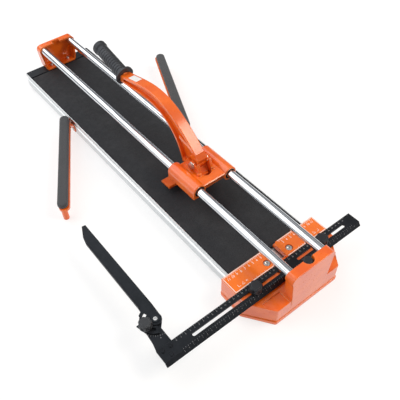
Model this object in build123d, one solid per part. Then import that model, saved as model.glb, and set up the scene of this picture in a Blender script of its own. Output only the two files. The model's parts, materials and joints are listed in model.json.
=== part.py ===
from build123d import *
import os
from math import atan2, cos, degrees, pi, sin

# Manual tile cutter, millimetres.
# X runs across the bed, Y along the cutting line towards the rear, Z is up.
# The floor is Z = 0, the fence that the tile is pushed against is Y = 0,
# and the cutting line is X = 0.

# ---- bed ----
BED_HALF = 99.8
BED_FRONT = -38.0
BED_REAR = 884.5
BED_BOTTOM = 5.0
DECK_TOP = 43.6
DECK_THICK = 2.4
LIP_TOP = 48.1
WALL = 2.4
PAD_INNER = 4.5
PAD_OUTER = 96.0
PAD_TOP = 48.3
PAD_FRONT = 0.6
PAD_REAR = 849.0
RIB_HALF = 3.5
RIB_TOP = 49.5
CROSSBAR_FRONT = 852.0
CROSSBAR_TOP = 49.2

# ---- rails ----
RAIL_X = 40.3
RAIL_Z = 110.3
RAIL_R = 9.3
RAIL_FRONT = -109.0
RAIL_REAR = 862.5

# ---- front block ----
BLOCK_HALF = 120.0
FENCE_DEPTH = 42.0
FENCE_TOP = 60.0
PLATE_THICK = 4.9
BODY_TOP = FENCE_TOP - PLATE_THICK - 0.1
CHANNEL_HALF = 13.0
WING_TOP = 46.5
SKIRT_TOP = 8.0
SKIRT_PROUD = 1.5
FRONT_Y = -112.5
FRONT_HALF = 80.0
CHAMFER_Y = -58.0
PANEL_INNER = 49.0
PANEL_OUTER = 92.0
PANEL_REAR = -83.0
PANEL_DEEP = 3.2
PANEL_SHALLOW = 0.8
CHEEK_REAR = 5.5
HUMP_TOP = 122.0
HUMP_REAR = -94.0
HUMP_FRONT = -113.5
NOTCH_Y = -95.8
NOTCH_R = 11.4
BOTTOM_PLATE = 5.0
PLATE_SCREW_X = 29.5
PLATE_SCREW_Y = -27.6
PLATE_SCREW_R = 4.0
BOTTOM_SCREWS = [(-104.0, -50.0), (104.0, -50.0), (-62.0, -92.0), (62.0, -92.0)]
BOTTOM_SCREW_R = 2.5
CENTRE_KNOB_R = 10.5
CENTRE_STUD_R = 4.0

# ---- rear bracket ----
BRACKET_FRONT = 851.0
BRACKET_TOP_REAR = 869.0
BRACKET_FOOT_REAR = 884.0
BRACKET_TOP = 122.0
BRACKET_HALF = 53.0
BRACKET_FOOT_HALF = 46.0
BRACKET_WALL = 4.5
BRACKET_SCREW_X = 26.0
BRACKET_SCREW_Y = 864.0
BRACKET_SCREW_R = 3.0
RAIL_BOLT_R = 3.4
RAIL_BOLT_FACE = 868.5

# ---- angle guide ----
RULER_REAR = -42.4
RULER_FRONT = -70.0
RULER_LIP = -75.9
RULER_TOP = 60.5
RULER_THICK = 3.5
RULER_LEFT = -301.0
RULER_RIGHT = 184.0
SLOT_Y = -58.0
SLOT_WIDE = 6.8
LEFT_SLOT = (-233.6, -25.0)
RIGHT_SLOT = (21.0, 154.0)
RULER_KNOB_X = 87.0
RULER_KNOB_R = 13.0
RULER_KNOB_TOP = 74.5
KNOB_LOBES = 7
STUD_R = 3.0
RIVETS = [(-292.0, -50.0), (-275.0, -50.0), (-283.5, -64.0)]
RIVET_R = 2.5
ARM_PIVOT = (-265.8, 8.9)
ARM_EYELET_R = 5.0
ARM_KNOB = (-287.2, 8.2)
ARM_KNOB_R = 12.5
ARM_KNOB_TOP = 73.5
ARM_SLOT_R = 21.5
ARM_TIP_Y = 280.0
ARM_FLANGE_LOW = 51.0

# ---- carriage ----
TUBE_R = 16.0
TUBE_FRONT = 163.0
TUBE_REAR = 252.0
BUSH_R = 12.3
CARRIAGE_LOW = 98.0
CARRIAGE_HIGH = 119.0
THROAT_Y = 196.0
EAR_INNER = 12.6
EAR_OUTER = 18.0
EAR_BOSS = 0.5
EAR_WASHER = 1.0
PIVOT_Y = 216.0
PIVOT_Z = 132.0
PIVOT_R = 4.0
NUT_FLATS = 13.0

# ---- handle ----
HANDLE_HALF = 12.0
HEAD_HALF = 9.5
HEAD_LOW = 78.0
HEAD_HIGH = 111.0
NOSE_TOP = (212.5, 157.0)
NOSE_EDGE = (203.4, 145.5)
HUB_R = 10.5
LEG_HALF = 5.0
WEB_HALF = 3.5
FLANGE = 5.5
GRIP_START = (481.2, 203.1)
GRIP_TILT = 13.3
GRIP_LONG = 110.0
GRIP_R = 14.8
TANG_R = 9.5
TANG_LONG = 96.0

# ---- scoring wheel and breaker foot ----
WHEEL_Y = 204.0
WHEEL_Z = 63.0
WHEEL_R = 11.0
AXLE_R = 1.5
SHANK_R = 5.0
FORK_HALF = 4.6
HOLDER_SCREW_Z = 92.0
HOLDER_SCREW_R = 2.5
FOOT_PIN_Y = 261.5
FOOT_PIN_Z = 79.0
FOOT_PIN_R = 3.0
FOOT_HALF = 60.0
FOOT_FRONT = 247.0
FOOT_REAR = 276.0
FOOT_LOW = 63.0
FOOT_HIGH = 69.0
FOOT_LUG = (5.5, 10.5)
FOOT_LUG_R = 7.0

# ---- side arms ----
SIDE_ARM_X = 113.0
LEFT_ARM_Y = 636.0
RIGHT_ARM_Y = 418.0
SIDE_ARMS = ((-1, LEFT_ARM_Y), (1, RIGHT_ARM_Y))
LEFT_ARM_WAY = (-0.49, -0.872)
RIGHT_ARM_WAY = (0.406, 0.914)
LEFT_ARM_LONG = 299.0
RIGHT_ARM_LONG = 319.0
LUG_LOW = 24.0
LUG_SCREW_BACK = 20.0
LUG_SCREW_Z = 20.0
LUG_SCREW_R = 2.5
LEG_R = 7.0
FOAM_HALF = 12.0
FOAM_TOP = 48.0
FOAM_OVERHANG = 6.5
BAR_HALF = 12.5
BAR_ASIDE = 2.5
BAR_LOW = 31.0
BAR_HIGH = 37.0

# running clearance of everything that turns or slides
FIT = 0.05


# ---------- shared helpers ----------

def block(x0, x1, y0, y1, z0, z1):
    """A box given by its two corners."""
    size = Box(abs(x1 - x0), abs(y1 - y0), abs(z1 - z0))
    return Pos((x0 + x1) / 2, (y0 + y1) / 2, (z0 + z1) / 2) * size


def rod_x(y, z, radius, x0, x1):
    return Pos((x0 + x1) / 2, y, z) * Rot(0, 90, 0) * Cylinder(radius, abs(x1 - x0))


def rod_y(x, z, radius, y0, y1):
    return Pos(x, (y0 + y1) / 2, z) * Rot(90, 0, 0) * Cylinder(radius, abs(y1 - y0))


def rod_z(x, y, radius, z0, z1):
    return Pos(x, y, (z0 + z1) / 2) * Cylinder(radius, abs(z1 - z0))


def hex_x(y, z, across_flats, x0, x1):
    """A hexagonal head or nut whose axis runs along X."""
    flat = RegularPolygon(across_flats / 2, 6, major_radius=False)
    return extrude(Plane.YZ.offset(min(x0, x1)) * Pos(y, z) * flat, abs(x1 - x0))


def hex_y(x, z, across_flats, y0, y1):
    """A hexagonal head or nut whose axis runs along Y."""
    flat = RegularPolygon(across_flats / 2, 6, major_radius=False)
    return extrude(Plane.XZ.offset(-max(y0, y1)) * Pos(x, z) * flat, abs(y1 - y0))


def hex_z(x, y, across_flats, z0, z1):
    flat = RegularPolygon(across_flats / 2, 6, major_radius=False)
    return extrude(Plane.XY.offset(min(z0, z1)) * Pos(x, y) * flat, abs(z1 - z0))


def outline(points):
    return make_face(Polyline(*points, close=True))


def plan(points, z0, z1):
    """A shape drawn in plan and given a height."""
    return extrude(Plane.XY.offset(z0) * outline(points), z1 - z0)


def side(points, x0, x1):
    """A shape drawn in side view, as (y, z), and given a width."""
    return extrude(Plane.YZ.offset(x0) * outline(points), x1 - x0)


def front(points, y0, y1):
    """A shape drawn in front view, as (x, z), and given a depth."""
    return extrude(Plane.XZ.offset(-y1) * outline(points), y1 - y0)


def mirrored(points):
    """Points of a right half, and the same points on the left, as one loop."""
    return points + [(-x, y) for x, y in reversed(points)]


def both_sides(make):
    """The same piece on the left and on the right, as one group."""
    return make(-1) + make(1)


def socket_screw_z(x, y, shank_r, z0, z1, head_r, head_high, socket):
    """A socket head cap screw that points down, its head resting on z1."""
    shank = rod_z(x, y, shank_r, z0, z1)
    head = rod_z(x, y, head_r, z1, z1 + head_high)
    head = chamfer(head.edges().group_by(Axis.Z)[-1], 0.8)
    return shank + head - hex_z(x, y, socket, z1 + head_high * 0.4, z1 + head_high + 1)


def solid_of(shape):
    """The shape as a plain solid or compound of solids, ready for export."""
    solids = shape.solids()
    if len(solids) == 1:
        return solids[0]
    return Compound(children=list(solids))


NODES = {}


def node(name, shape):
    NODES[name] = solid_of(shape)


# ---------- bed ----------

def base_tray():
    """Aluminium extrusion: deck, lipped sides with a groove, and a box rib under the middle."""
    groove = BED_HALF - 3.0
    low_wall = BED_HALF - WALL
    half = [
        (0, DECK_TOP), (BED_HALF - WALL, DECK_TOP), (BED_HALF - 1.6, LIP_TOP), (BED_HALF, LIP_TOP),
        (BED_HALF, 41.0), (groove, 39.5), (groove, 30.5), (BED_HALF, 29.0), (BED_HALF, 10.0),
        (98.4, BED_BOTTOM), (78.0, BED_BOTTOM), (78.0, BED_BOTTOM + WALL),
        (low_wall, BED_BOTTOM + WALL), (low_wall, 28.0), (groove - WALL, 29.5),
        (groove - WALL, DECK_TOP - DECK_THICK), (14.0, DECK_TOP - DECK_THICK),
        (14.0, BED_BOTTOM), (0, BED_BOTTOM),
    ]
    section = outline(half) + mirror(outline(half), Plane.YZ)
    tube = Pos(0, (BED_BOTTOM + DECK_TOP) / 2) * Rectangle(23.2, DECK_TOP - BED_BOTTOM - 2 * DECK_THICK)
    tray = extrude(Plane.XZ.offset(-BED_REAR) * (section - tube), BED_REAR - BED_FRONT)
    for sign in (-1, 1):
        tray -= rod_z(sign * PLATE_SCREW_X, PLATE_SCREW_Y, PLATE_SCREW_R, 30, 50)
        tray -= rod_z(sign * BRACKET_SCREW_X, BRACKET_SCREW_Y, BRACKET_SCREW_R, 30, 50)
    for sign, y in SIDE_ARMS:
        tray -= rod_x(y - LUG_SCREW_BACK, LUG_SCREW_Z, LUG_SCREW_R, sign * 90, sign * 110)
    return tray


def pad(sign):
    """Rubber mat with softened long edges."""
    mat = block(sign * PAD_INNER, sign * PAD_OUTER, PAD_FRONT, PAD_REAR, DECK_TOP, PAD_TOP)
    edges = mat.edges().filter_by(Axis.Y).group_by(Axis.Z)[-1]
    return fillet(edges, 1.2)


def breaking_rib():
    """Raised strip under the cutting line, rounded along its top."""
    rib = block(-RIB_HALF, RIB_HALF, -34.0, PAD_REAR, DECK_TOP, RIB_TOP)
    return fillet(rib.edges().filter_by(Axis.Y).group_by(Axis.Z)[-1], 2.6)


def rear_crossbar():
    bar = block(-97.2, 97.2, CROSSBAR_FRONT, BED_REAR, DECK_TOP, CROSSBAR_TOP)
    bar = fillet(bar.edges().filter_by(Axis.X).group_by(Axis.Z)[-1], 1.5)
    for sign in (-1, 1):
        bar -= rod_z(sign * BRACKET_SCREW_X, BRACKET_SCREW_Y, BRACKET_SCREW_R, 30, 60)
    return bar


def base_feet():
    feet = None
    for x in (-88.0, 88.0):
        for y in (60.0, 470.0, 866.0):
            foot = Pos(x, y, BED_BOTTOM / 2) * Cone(8.0, 9.5, BED_BOTTOM)
            feet = foot if feet is None else feet + foot
    return feet


# ---------- front block ----------

def hump():
    """Upright that carries the front ends of both rails."""
    shoulder = RAIL_X + 13.2
    half = Polyline((0, 30.0), (44.0, 30.0), (47.0, 60.0), (50.5, 98.0), (shoulder, 108.0))
    corner = RadiusArc((shoulder, 108.0), (44.7, HUMP_TOP), -13.5)
    top = Line((44.7, HUMP_TOP), (0, HUMP_TOP))
    axis = Line((0, HUMP_TOP), (0, 30.0))
    face = make_face(half + corner + top + axis)
    face += mirror(face, Plane.YZ)
    body = extrude(Plane.XZ.offset(-HUMP_REAR) * face, HUMP_REAR - HUMP_FRONT)
    body = fillet(body.edges().group_by(Axis.Z)[-1].filter_by(Axis.X), 1.2)
    body += rod_z(0, NOTCH_Y, 9.0, 30.0, 99.0)
    body -= rod_z(0, NOTCH_Y, NOTCH_R, 99.0, 130.0)
    return body


def block_shell():
    """Outer shape of the casting below the scale plates."""
    skirt = [(BLOCK_HALF - 2 + SKIRT_PROUD, CHEEK_REAR), (BLOCK_HALF + SKIRT_PROUD, CHAMFER_Y),
             (FRONT_HALF + SKIRT_PROUD, FRONT_Y - SKIRT_PROUD)]
    upper = [(BLOCK_HALF - 2, CHEEK_REAR), (BLOCK_HALF, CHAMFER_Y), (FRONT_HALF, FRONT_Y)]
    skirt_body = plan(mirrored(skirt), 0, SKIRT_TOP)
    skirt_body = fillet(skirt_body.edges().filter_by(Axis.Z), 6.0)
    skirt_body = fillet(skirt_body.edges().group_by(Axis.Z)[-1], 1.2)
    wings = plan(mirrored(upper), 0, WING_TOP)
    wings = fillet(wings.edges().filter_by(Axis.Z), 5.0)
    wings = fillet(wings.edges().group_by(Axis.Z)[-1].filter_by(lambda e: e.center().Y < -60), 1.6)
    body = skirt_body + wings
    # rear faces of the cheeks lean forward towards the fence
    behind = CHEEK_REAR + 3
    body -= side([(behind, SKIRT_TOP), (behind, 60), (0, 60), (CHEEK_REAR, SKIRT_TOP)], -130, 130)
    fence_half = BLOCK_HALF - 0.4
    fence = block(-fence_half, fence_half, -FENCE_DEPTH, 0, WING_TOP - 1, BODY_TOP)
    seat_half = BLOCK_HALF - 0.8
    seat_top = RULER_TOP - RULER_THICK - 0.1
    ruler_seat = block(-seat_half, seat_half, -67.0, -FENCE_DEPTH, WING_TOP - 1, seat_top)
    return body + fence + ruler_seat


def panel_recess(sign):
    """Sunk panel of a wing: deepest towards the ruler, running out at the front edge."""
    wedge = [(PANEL_REAR, WING_TOP + 1), (PANEL_REAR, WING_TOP - PANEL_DEEP),
             (FRONT_Y - 1, WING_TOP - PANEL_SHALLOW), (FRONT_Y - 1, WING_TOP + 1)]
    return side(wedge, *sorted((sign * PANEL_INNER, sign * PANEL_OUTER)))


def front_block():
    body = block_shell() + hump()
    # pocket for the front end of the bed
    body -= block(-BED_HALF - 0.2, BED_HALF + 0.2, BED_FRONT - 0.2, 30, -1, PAD_TOP + 0.2)
    # channel that lets the scoring wheel run off the front of the tile
    body -= block(-CHANNEL_HALF, CHANNEL_HALF, -36.0, 5, 40, FENCE_TOP + 1)
    # hollow underside
    inner = BLOCK_HALF - 6
    cavity = [(inner, BED_FRONT - 5), (inner, CHAMFER_Y + 1), (FRONT_HALF - 3.5, FRONT_Y + 6)]
    body -= plan(mirrored(cavity), -1, WING_TOP - 6)
    body -= block(-BED_HALF - 0.2, BED_HALF + 0.2, BED_FRONT - 6, 30, -1, BOTTOM_PLATE + 0.1)
    for x, y in BOTTOM_SCREWS:
        body += rod_z(x, y, 6.0, BOTTOM_PLATE + 0.1, WING_TOP - 5)
        body -= rod_z(x, y, BOTTOM_SCREW_R, BOTTOM_PLATE - 1, 24.0)
    for sign in (-1, 1):
        # bosses that press the block down on the bed
        body += rod_z(sign * PLATE_SCREW_X, PLATE_SCREW_Y, 8.0, DECK_TOP, BODY_TOP)
        body -= rod_z(sign * PLATE_SCREW_X, PLATE_SCREW_Y, PLATE_SCREW_R, 40, FENCE_TOP)
        # threaded hole of the ruler knob
        body += rod_z(sign * RULER_KNOB_X, SLOT_Y, 8.0, 38.0, 56.0)
        body -= rod_z(sign * RULER_KNOB_X, SLOT_Y, STUD_R + FIT, 36.0, 60.0)
        # blind bore of the rail
        body -= rod_y(sign * RAIL_X, RAIL_Z, RAIL_R + FIT, RAIL_FRONT - 0.05, HUMP_REAR + 5)
        body -= panel_recess(sign)
    # threaded hole of the centre knob
    body -= rod_z(0, NOTCH_Y, CENTRE_STUD_R + FIT, 74.0, 110.0)
    return body


def block_bottom_plate():
    edge = BED_FRONT - 5.3
    points = [(BED_HALF, 4.0), (BED_HALF, edge), (BLOCK_HALF - 6.3, edge), (BLOCK_HALF - 6.3, CHAMFER_Y + 1),
              (FRONT_HALF - 3.9, FRONT_Y + 6.3)]
    plate = plan(mirrored(points), 0, BOTTOM_PLATE)
    for x, y in BOTTOM_SCREWS:
        plate -= rod_z(x, y, BOTTOM_SCREW_R, -1, BOTTOM_PLATE + 1)
        plate -= Pos(x, y, 1.4) * Cone(5.4, BOTTOM_SCREW_R, 2.8)
    return plate


def bottom_plate_screws():
    screws = None
    for x, y in BOTTOM_SCREWS:
        shank_r = BOTTOM_SCREW_R - 2 * FIT
        screw = Pos(x, y, 1.7) * Cone(4.8, shank_r, 2.4) + rod_z(x, y, shank_r, 1.7, 22.0)
        screws = screw if screws is None else screws + screw
    return screws


def scale_plate(sign):
    """Half of the fence: a flat plate whose inner rear corner is rounded off."""
    plate = block(sign * CHANNEL_HALF, sign * BLOCK_HALF, -FENCE_DEPTH, 0, BODY_TOP + 0.1, FENCE_TOP)
    inner = sorted(plate.edges().filter_by(Axis.Z), key=lambda e: abs(e.center().X) - e.center().Y)[0]
    plate = fillet(inner, 9.0)
    plate = fillet(plate.edges().group_by(Axis.Z)[-1], 0.8)
    plate -= rod_z(sign * PLATE_SCREW_X, PLATE_SCREW_Y, 7.6, BODY_TOP, FENCE_TOP + 1)
    return plate


def scale_plate_screws():
    def one(sign):
        x = sign * PLATE_SCREW_X
        return socket_screw_z(x, PLATE_SCREW_Y, PLATE_SCREW_R - FIT, 32.0, BODY_TOP, 6.5, 4.2, 6.0)
    return both_sides(one)


def scale_plate_nuts():
    def one(sign):
        nut = hex_z(sign * PLATE_SCREW_X, PLATE_SCREW_Y, NUT_FLATS, 34.4, DECK_TOP - DECK_THICK)
        return nut - rod_z(sign * PLATE_SCREW_X, PLATE_SCREW_Y, PLATE_SCREW_R - FIT, 30, 45)
    return both_sides(one)


# ---------- rails and rear bracket ----------

def rail(sign):
    bar = rod_y(sign * RAIL_X, RAIL_Z, RAIL_R, RAIL_FRONT, RAIL_REAR)
    bar = chamfer(bar.edges(), 0.8)
    return bar - rod_y(sign * RAIL_X, RAIL_Z, RAIL_BOLT_R, RAIL_REAR - 22, RAIL_REAR + 1)


def bracket_outer():
    """Box of the bracket: narrower at its foot, and its back leans out towards the foot."""
    foot_top = CROSSBAR_TOP + 6
    shoulder = (BRACKET_HALF, 108.0)
    crown = (43.5, BRACKET_TOP)
    half = Polyline((0, CROSSBAR_TOP), (BRACKET_FOOT_HALF - 5, CROSSBAR_TOP), (BRACKET_FOOT_HALF, foot_top),
                    shoulder)
    corner = RadiusArc(shoulder, crown, -13.0)
    top = Line(crown, (0, BRACKET_TOP))
    axis = Line((0, BRACKET_TOP), (0, CROSSBAR_TOP))
    face = make_face(half + corner + top + axis)
    face += mirror(face, Plane.YZ)
    body = extrude(Plane.XZ.offset(-BRACKET_FOOT_REAR) * face, BRACKET_FOOT_REAR - BRACKET_FRONT)
    behind = BRACKET_FOOT_REAR + 30
    back = [(BRACKET_FOOT_REAR, foot_top), (BRACKET_TOP_REAR, BRACKET_TOP + 1), (behind, BRACKET_TOP + 1),
            (behind, foot_top)]
    return body - side(back, -70, 70)


def rear_bracket():
    body = bracket_outer()
    inner_top = BRACKET_TOP - BRACKET_WALL
    floor = CROSSBAR_TOP + 4.0
    hollow = front(mirrored([(BRACKET_FOOT_HALF - 6, floor), (BRACKET_FOOT_HALF - 3.5, floor + 8),
                             (BRACKET_HALF - 4.5, 104.0), (43.0, inner_top)]), BRACKET_FRONT - 1, 880)
    back = [(874.0, floor - 1), (RAIL_REAR, inner_top + 1), (900, inner_top + 1), (900, floor - 1)]
    body -= hollow - side(back, -70, 70)
    # notch in the front edge of the top
    notch = block(-10.5, 10.5, BRACKET_FRONT - 1, BRACKET_FRONT + 11.5, inner_top - 1, BRACKET_TOP + 1)
    body -= fillet(notch.edges().filter_by(Axis.Z), 3.0)
    for sign in (-1, 1):
        body -= rod_y(sign * RAIL_X, RAIL_Z, RAIL_R + FIT, BRACKET_FRONT - 5, RAIL_REAR)
        body -= rod_y(sign * RAIL_X, RAIL_Z, RAIL_BOLT_R, RAIL_REAR - 1, 900)
        body -= rod_y(sign * RAIL_X, RAIL_Z, 8.0, RAIL_BOLT_FACE, 900)
        body -= rod_z(sign * BRACKET_SCREW_X, BRACKET_SCREW_Y, BRACKET_SCREW_R, 40, 60)
    return body


def rear_bracket_screws():
    def one(sign):
        x = sign * BRACKET_SCREW_X
        seat = CROSSBAR_TOP + 4.0
        return socket_screw_z(x, BRACKET_SCREW_Y, BRACKET_SCREW_R - FIT, 33.0, seat, 5.0, 5.0, 4.0)
    return both_sides(one)


def rail_end_bolts():
    def one(sign):
        shank = rod_y(sign * RAIL_X, RAIL_Z, RAIL_BOLT_R - FIT, RAIL_REAR - 18, RAIL_BOLT_FACE)
        return shank + hex_y(sign * RAIL_X, RAIL_Z, 11.0, RAIL_BOLT_FACE, RAIL_BOLT_FACE + 4.5)
    return both_sides(one)


# ---------- carriage ----------

def ear(sign):
    """One of the two upright ears that hold the handle pivot."""
    low = CARRIAGE_LOW + 4
    lines = Polyline((191.0, low), (191.0, CARRIAGE_HIGH), (199.0, 143.5))
    nose = RadiusArc((199.0, 143.5), (231.0, 142.0), -17.0)
    back = Polyline((231.0, 142.0), (241.0, CARRIAGE_HIGH), (243.0, low), (191.0, low))
    x0 = EAR_INNER if sign > 0 else -EAR_OUTER
    plate = extrude(Plane.YZ.offset(x0) * make_face(lines + nose + back), EAR_OUTER - EAR_INNER)
    plate = fillet(plate.edges().filter_by(Axis.X).group_by(Axis.Y)[0], 2.0)
    plate += rod_x(PIVOT_Y, PIVOT_Z, 9.0, sign * (EAR_INNER + 1), sign * (EAR_OUTER + EAR_BOSS))
    # low boss in front of each ear
    return plate + rod_z(sign * 17.4, 193.0, 4.2, low, CARRIAGE_HIGH + 4.5)


def carriage_tube(sign):
    """Housing of one rail: round, with a straight skirt on its outer side."""
    centre = Pos(sign * RAIL_X, RAIL_Z)
    section = centre * Circle(TUBE_R) + centre * Pos(sign * TUBE_R / 2, -8.0) * Rectangle(TUBE_R, 16.0)
    tube = extrude(Plane.XZ.offset(-TUBE_REAR) * section, TUBE_REAR - TUBE_FRONT)
    return chamfer(tube.edges().filter_by(lambda e: abs(e.length - 2 * pi * TUBE_R) < 60), 1.2)


def carriage_body():
    throat_half = EAR_INNER + 0.4
    bridge = side([(171.6, CARRIAGE_LOW), (163.5, CARRIAGE_HIGH - 1.5), (165.5, CARRIAGE_HIGH),
                   (246.0, CARRIAGE_HIGH), (246.0, CARRIAGE_LOW)], -RAIL_X, RAIL_X)
    body = bridge + carriage_tube(-1) + carriage_tube(1)
    # open throat in which the handle swings
    body -= rod_z(0, THROAT_Y, throat_half, 90, 130)
    body -= block(-throat_half, throat_half, THROAT_Y, 260, 90, 130)
    for sign in (-1, 1):
        body += ear(sign)
        # web between the ear and the tube
        web = [(205.0, CARRIAGE_HIGH - 1), (228.0, CARRIAGE_HIGH - 1), (PIVOT_Y, 121.4)]
        body += side(web, *sorted((sign * (EAR_OUTER - 1), sign * (EAR_OUTER + 6))))
        body -= rod_y(sign * RAIL_X, RAIL_Z, BUSH_R, TUBE_FRONT - 1, TUBE_REAR + 1)
    return body - rod_x(PIVOT_Y, PIVOT_Z, PIVOT_R, -40, 40)


def bush(sign):
    """Plain bearing sleeve of one rail."""
    sleeve = rod_y(sign * RAIL_X, RAIL_Z, BUSH_R, TUBE_FRONT + 4, TUBE_REAR - 4)
    return sleeve - rod_y(sign * RAIL_X, RAIL_Z, RAIL_R + FIT, TUBE_FRONT, TUBE_REAR)


def bush_seals():
    """Wiper rings at the four mouths of the tubes."""
    rings = None
    for sign in (-1, 1):
        for y0 in (TUBE_FRONT + 0.5, TUBE_REAR - 3.9):
            ring = rod_y(sign * RAIL_X, RAIL_Z, BUSH_R, y0, y0 + 3.4)
            ring -= rod_y(sign * RAIL_X, RAIL_Z, RAIL_R + 0.3, y0 - 1, y0 + 5)
            rings = ring if rings is None else rings + ring
    return rings


def pivot_bolt():
    outer = EAR_OUTER + EAR_BOSS + EAR_WASHER
    bolt = rod_x(PIVOT_Y, PIVOT_Z, PIVOT_R, -outer, outer + 5.5)
    return bolt + hex_x(PIVOT_Y, PIVOT_Z, NUT_FLATS, -outer - 5, -outer)


def pivot_nut():
    outer = EAR_OUTER + EAR_BOSS + EAR_WASHER
    nut = hex_x(PIVOT_Y, PIVOT_Z, NUT_FLATS, outer, outer + 6.5)
    return nut - rod_x(PIVOT_Y, PIVOT_Z, PIVOT_R, 0, 50)


def pivot_washers():
    def one(sign):
        inner = sign * (EAR_OUTER + EAR_BOSS)
        disc = rod_x(PIVOT_Y, PIVOT_Z, 8.0, inner, inner + sign * EAR_WASHER)
        return disc - rod_x(PIVOT_Y, PIVOT_Z, PIVOT_R, inner - 2, inner + 2)
    return both_sides(one)


# ---------- handle ----------

def handle_top():
    """Upper edge of the arched lever in side view, from the nose to the grip."""
    return Spline(NOSE_TOP, (262.0, 197.5), (318.0, 224.6), (368.0, 230.0), (425.0, 221.5), (479.3, 210.0))


def handle_under():
    """Lower edge of the lever, from the grip down to the carriage."""
    return Spline((483.4, 192.0), (421.0, 198.0), (366.0, 200.7), (324.5, 192.4), (287.0, 166.0),
                  (270.0, 140.0), (260.5, 112.0))


def beside(curve, distance, start, stop):
    """A curve that follows another at a fixed distance to its right."""
    points = []
    for i in range(8):
        t = start + (stop - start) * i / 7
        place = curve @ t
        way = curve % t
        points.append((place.X + way.Y * distance, place.Y - way.X * distance))
    return Spline(*points)


def handle_pocket():
    """Hollow in each side of the lever that leaves two flanges and a web."""
    top = beside(handle_top(), FLANGE, 0.05, 0.97)
    under = beside(handle_under(), FLANGE, 0.04, 0.97)
    rear = Line(top @ 1, under @ 0)
    nose = Polyline(under @ 1, (232.0, 110.0), (207.0, 117.0), top @ 0)
    pocket = extrude(Plane.YZ * make_face(top + rear + under + nose), HANDLE_HALF + 1, both=True)
    pocket -= block(-WEB_HALF, WEB_HALF, 150, 500, 80, 260)
    pocket -= rod_x(PIVOT_Y, PIVOT_Z, 19.0, -20, 20)
    # slanting rib between the lower flange and the nose
    return pocket - Pos(0, 237.0, 167.0) * Rot(12.5, 0, 0) * Box(40.0, 58.0, 7.0)


def handle_arm():
    top = handle_top()
    under = handle_under()
    end = Line(top @ 1, under @ 0)
    nose = Polyline(under @ 1, (232.0, 104.0), (201.0, 104.0), (201.0, 112.0), (208.5, 122.0),
                    (206.0, 136.0), NOSE_EDGE, top @ 0)
    arm = extrude(Plane.YZ.offset(-HANDLE_HALF) * make_face(top + end + under + nose), 2 * HANDLE_HALF)
    arm = fillet(arm.edges().filter_by(lambda e: e.length > 200), 1.6)
    lower_edge = arm.edges().filter_by(Axis.X).filter_by_position(Axis.Z, NOSE_EDGE[1] - 1, NOSE_EDGE[1] + 1)
    arm = fillet(lower_edge, 1.8)
    arm += rod_x(PIVOT_Y, PIVOT_Z, HUB_R, -HANDLE_HALF, HANDLE_HALF)
    arm -= handle_pocket()
    # head that holds the wheel holder
    head = block(-HEAD_HALF, HEAD_HALF, WHEEL_Y - 8.5, WHEEL_Y + 8.5, HEAD_LOW, HEAD_HIGH)
    arm += fillet(head.edges().filter_by(Axis.Z), 3.0)
    # leg that carries the breaker foot
    leg = [(232.0, 106.0), (262.0, 114.0), (268.0, FOOT_PIN_Z), (254.0, FOOT_PIN_Z), (247.0, 94.0)]
    arm += side(leg, -LEG_HALF, LEG_HALF)
    arm += rod_x(FOOT_PIN_Y, FOOT_PIN_Z, FOOT_LUG_R, -LEG_HALF, LEG_HALF)
    # round tang inside the grip
    arm += grip_frame() * Pos(0, 0, TANG_LONG / 2 - 1) * Cylinder(TANG_R, TANG_LONG + 2)
    arm -= rod_x(PIVOT_Y, PIVOT_Z, PIVOT_R + FIT, -40, 40)
    arm -= rod_x(FOOT_PIN_Y, FOOT_PIN_Z, FOOT_PIN_R, -40, 40)
    arm -= rod_z(0, WHEEL_Y, SHANK_R, 70, 104.0)
    return arm - rod_y(0, HOLDER_SCREW_Z, HOLDER_SCREW_R, WHEEL_Y - 20, WHEEL_Y)


def grip_frame():
    """Placement whose Z axis is the axis of the grip."""
    return Pos(0, GRIP_START[0], GRIP_START[1]) * Rot(GRIP_TILT - 90, 0, 0)


def rubber_grip():
    """Ribbed sleeve with a flange at the hand's front and a rounded end."""
    points = [(TANG_R, 0), (22.0, 0), (22.0, 4.5), (18.0, 5.5), (18.0, 9.0), (GRIP_R, 10.0)]
    rib = 12.0
    while rib < GRIP_LONG - 24:
        valley = GRIP_R - 0.9
        points += [(GRIP_R, rib), (valley, rib + 1.0), (valley, rib + 2.4), (GRIP_R, rib + 3.4)]
        rib += 7.0
    points += [(GRIP_R, GRIP_LONG - 16), (16.6, GRIP_LONG - 12), (16.6, GRIP_LONG - 4)]
    shell = Polyline(*points)
    dome = RadiusArc((16.6, GRIP_LONG - 4), (11.6, GRIP_LONG + 1), -5.2)
    # vent hole in the end, and the socket of the tang
    vent = 3.0
    socket = TANG_LONG + 0.5
    inside = Polyline((11.6, GRIP_LONG + 1), (vent, GRIP_LONG + 1.5), (vent, socket), (TANG_R, socket),
                      (TANG_R, 0))
    sleeve = revolve(Plane.XZ * make_face(shell + dome + inside), Axis.Z)
    return grip_frame() * sleeve


def wheel_holder():
    """Round shank with a forked end for the wheel."""
    shank = rod_z(0, WHEEL_Y, SHANK_R - FIT, 76.0, 103.0)
    fork = block(-FORK_HALF, FORK_HALF, WHEEL_Y - 6.5, WHEEL_Y + 6.5, WHEEL_Z, HEAD_LOW - 0.2)
    fork += rod_x(WHEEL_Y, WHEEL_Z, 6.5, -FORK_HALF, FORK_HALF)
    holder = shank + fork
    holder -= block(-1.5, 1.5, WHEEL_Y - 15, WHEEL_Y + 15, 50, 75.2)
    return holder - rod_x(WHEEL_Y, WHEEL_Z, AXLE_R, -10, 10)


def holder_screw():
    """Set screw that clamps the shank of the wheel holder."""
    tip = WHEEL_Y - SHANK_R + FIT
    screw = rod_y(0, HOLDER_SCREW_Z, HOLDER_SCREW_R - FIT, WHEEL_Y - 12.5, tip)
    return screw + hex_y(0, HOLDER_SCREW_Z, 8.0, WHEEL_Y - 12.5, WHEEL_Y - 8.6)


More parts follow.
